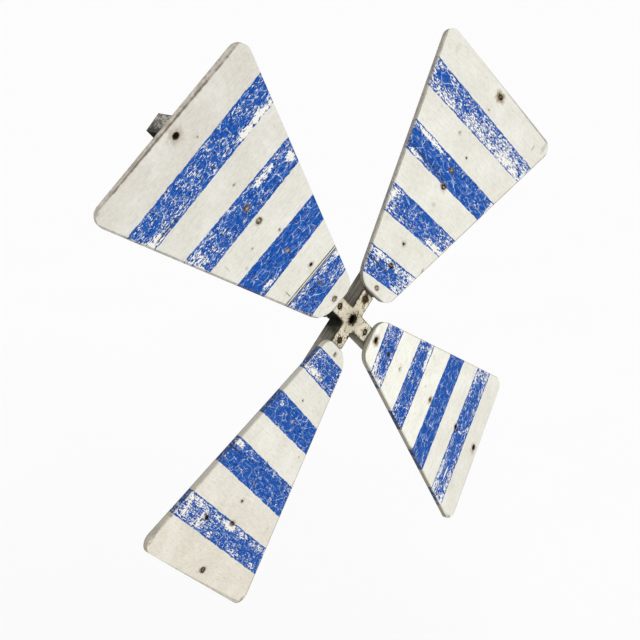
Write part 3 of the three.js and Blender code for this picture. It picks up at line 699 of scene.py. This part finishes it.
def plate_material():
    """Cream paint with rust specks, dark round the hub hole, the screws and the outline."""
    material, g = start_material("plate_paint")
    places = plate_places(g)
    u, v, w, spot, to_u_screw, to_v_screw = places
    away = g.distance(u, v)
    blot = g.noise(spot, 0.12, 5.0, 0.65)
    dots = g.noise(spot, 0.42, 3.0, 0.6)
    fine = g.noise(spot, 0.8, 4.0, 0.7)
    cream = g.mix(g.fade(blot, 0.4, 0.7), CREAM, CREAM_DULL)
    cream = g.mix(g.fade(away, 9.0, 26.0, 0.50, 0.0), cream, CREAM_STAINED)
    rust = g.mix(g.fade(fine, 0.35, 0.65), PLATE_RUST_DARK, PLATE_RUST_LIGHT)
    rusted = plate_rust(g, places, blot, dots, away)
    colour = g.mix(rusted, cream, rust)

    # a dark ring round each screw, and near black round the hole, which on the hole's wall is painted shade
    off_rim = g.size(g.sub(g.least(to_u_screw, to_v_screw), SCREW_RIM))
    colour = g.mix(g.fade(off_rim, 0.3, 1.1, 0.85, 0.0), colour, PLATE_RING)
    ragged = g.add(away, g.fade(dots, 0.3, 0.7, 1.0, -1.0))
    halo = g.fade(ragged, HUB_HOLE_RADIUS - 0.35, HUB_HOLE_RADIUS + 4.15, 0.92, 0.0)
    colour = g.mix(halo, colour, PLATE_HALO)

    # the outline: the nearer of an arm's side and its end
    from_side = g.sub(PLATE_HALF_WIDTH, g.least(g.size(u), g.size(v)))
    from_end = g.sub(PLATE_HALF_SPAN, g.most(g.size(u), g.size(v)))
    outline = g.fade(g.least(from_side, from_end), 0.5, 1.9, 0.92, 0.0)
    colour = g.mix(g.mul(outline, g.fade(blot, 0.35, 0.6, 0.45, 1.0)), colour, PLATE_OUTLINE)
    colour = g.mix(g.fade(w, -0.2, -0.8), colour, PLATE_EDGE)
    height = g.add(g.mul(rusted, 0.25), g.mul(fine, 0.2))
    g.finish(colour, g.fade(rusted, 0.0, 1.0, 0.6, 0.9), height, level=0.08)
    return material


def plate_screw_material():
    """A rusty slotted head: a dark rim, and painted shade in the slot, round a browner middle."""
    material, g = start_material("plate_screw_rust")
    u, v, w, spot, to_u_screw, to_v_screw = plate_places(g)
    blot = g.noise(spot, 0.35, 4.0, 0.6)
    fine = g.noise(spot, 1.6, 4.0, 0.7)
    middle = g.mix(g.fade(blot, 0.35, 0.65), HEAD_DARK, HEAD_LIGHT)
    on_u_arm = g.fade(g.sub(g.size(v), g.size(u)), 5.0, -5.0, 0.0, 0.75)
    middle = g.mix(on_u_arm, middle, HEAD_RUSTY)
    colour = g.mix(g.fade(g.least(to_u_screw, to_v_screw), 1.6, 3.0), middle, HEAD_RIM)
    # painted shade in the slot, deeper than 0.6 mm
    colour = g.mix(g.fade(w, -0.6, -1.0), colour, HEAD_SLOT_SHADE)
    g.finish(colour, g.fade(fine, 0.3, 0.7, 0.7, 0.95), g.mul(fine, 0.25), level=0.12)
    return material


# ---- bare metal -----------------------------------------------------------------------------
METAL_RUST_DARK = (0.060, 0.032, 0.018)
METAL_RUST_LIGHT = (0.23, 0.12, 0.055)


def rusty_material(name, base, rust_low, rust_high, metal, scale=0.25, level=0.5):
    """Dull metal of the base colour, rusted where a noise is past rust_low to rust_high."""
    material, g = start_material(name)
    where = g.node("ShaderNodeTexCoord").outputs["Object"]
    spot = g.stretch(where, 1.0 / MM, 1.0 / MM, 1.0 / MM)
    blot = g.noise(spot, scale, 5.0, 0.65)
    fine = g.noise(spot, 1.6, 4.0, 0.7)
    rust = g.mix(g.fade(fine, 0.35, 0.65), METAL_RUST_DARK, METAL_RUST_LIGHT)
    clean = g.mix(g.fade(fine, 0.3, 0.7), base, tuple(0.6 * c for c in base))
    rusted = g.fade(g.add(g.mul(blot, 0.75), g.mul(fine, 0.25)), rust_low, rust_high)
    height = g.add(g.mul(rusted, 0.10), g.mul(fine, 0.12))
    g.finish(g.mix(rusted, clean, rust), g.fade(rusted, 0.0, 1.0, 0.42, 0.92), height, bump=0.5,
             metal=g.fade(rusted, 0.0, 1.0, metal, 0.0), level=level)
    return material


dress(batten_material("batten_wood_front", FRONT_BATTEN_ANGLE, 12.0, 0.85, 0.45), "batten_front")
dress(batten_material("batten_wood_rear", REAR_BATTEN_ANGLE, NOWHERE, 0.25, 0.95), "batten_rear")
dress(plate_material(), "hub_plate")
dress(plate_screw_material(), *(f"plate_screw_{i}" for i in range(1, 5)))
dress(rusty_material("screw_rust", (0.20, 0.16, 0.12), 0.30, 0.45, 0.5),
      "rear_strap_screw_1", "rear_strap_screw_2", "set_screw")
# near black, as painted shade in the hub hole where the keeper washer and screw sit
dress(rusty_material("near_black_steel", (0.010, 0.008, 0.006), 0.58, 0.74, 0.0, level=0.05),
      "keeper_washer", "keeper_screw")
dress(rusty_material("dull_zinc", (0.46, 0.46, 0.45), 0.50, 0.66, 0.9, 0.07),
      "rear_strap", "axle", "mounting_strap", "boss")
dress(rusty_material("dull_bronze", (0.10, 0.068, 0.033), 0.50, 0.66, 0.5, 0.2, 0.1),
      "bush", "thrust_washer")

# ---- floor, light and camera ----------------------------------------------------------------
FLOOR_Z = -1.4                  # m, well below the blades, as under a spinner on a wall
FAR = 400.0                     # m from the middle of the floor to its sides
FLOOR_DARK = (0.955, 0.955, 0.955)
FLOOR_LIGHT = (0.97, 0.97, 0.97)


def add_object(name, data):
    made = bpy.data.objects.new(name, data)
    bpy.context.scene.collection.objects.link(made)
    return made


def floor_material():
    material, g = start_material("floor")
    tone = g.noise(g.node("ShaderNodeTexCoord").outputs["Object"], 1.5, 2.0)
    g.finish(g.mix(tone, FLOOR_DARK, FLOOR_LIGHT), 0.9, level=0.0)
    return material


floor_mesh = bpy.data.meshes.new("floor")
floor_corners = [(-FAR, -FAR, FLOOR_Z), (FAR, -FAR, FLOOR_Z), (FAR, FAR, FLOOR_Z), (-FAR, FAR, FLOOR_Z)]
floor_mesh.from_pydata(floor_corners, [], [(0, 1, 2, 3)])
floor_mesh.materials.append(floor_material())
floor = add_object("floor", floor_mesh)

# a white sky, a little darker at the horizon and below it, and darker again overhead
world = bpy.data.worlds.new("world")
world.use_nodes = True
sky = Graph(world.node_tree)
direction = sky.node("ShaderNodeTexCoord").outputs["Generated"]
upward = sky.node("ShaderNodeSeparateXYZ", {0: direction}).outputs["Z"]
brightness = sky.add(sky.fade(upward, 0.10, 0.80, 1.08, 0.72), sky.fade(upward, 0.0, 0.25, -0.105, 0.0))
sky.put(sky.tree.nodes["Background"].inputs["Color"], sky.vector(brightness, brightness, brightness))
bpy.context.scene.world = world

# a wide soft key from the upper left, behind the camera
key_light = bpy.data.lights.new("key", "SUN")
key_light.energy = 1.0
key_light.angle = math.radians(50)
key = add_object("key", key_light)
key.rotation_euler = Vector((0.35, 0.75, -0.75)).to_track_quat("-Z", "Y").to_euler()

# the camera is in front of the rotor, to its left and above its axis
CAMERA_AT = Vector((-0.9461, -1.0411, 0.4524))
CAMERA_RIGHT = Vector((0.7381, -0.6747, 0.0013)).normalized()
CAMERA_UP = Vector((0.2519, 0.2773, 0.9272)).normalized()
camera_data = bpy.data.cameras.new("camera")
camera_data.sensor_width = 36.0
camera_data.lens = 57.1
camera_data.shift_y = 0.0959
camera_data.clip_end = 1000.0
camera = add_object("camera", camera_data)
facing = Matrix((CAMERA_RIGHT, CAMERA_UP, CAMERA_RIGHT.cross(CAMERA_UP))).transposed()
camera.matrix_world = Matrix.Translation(CAMERA_AT) @ facing.to_4x4()
bpy.context.scene.camera = camera
bpy.context.scene.view_settings.view_transform = "Standard"
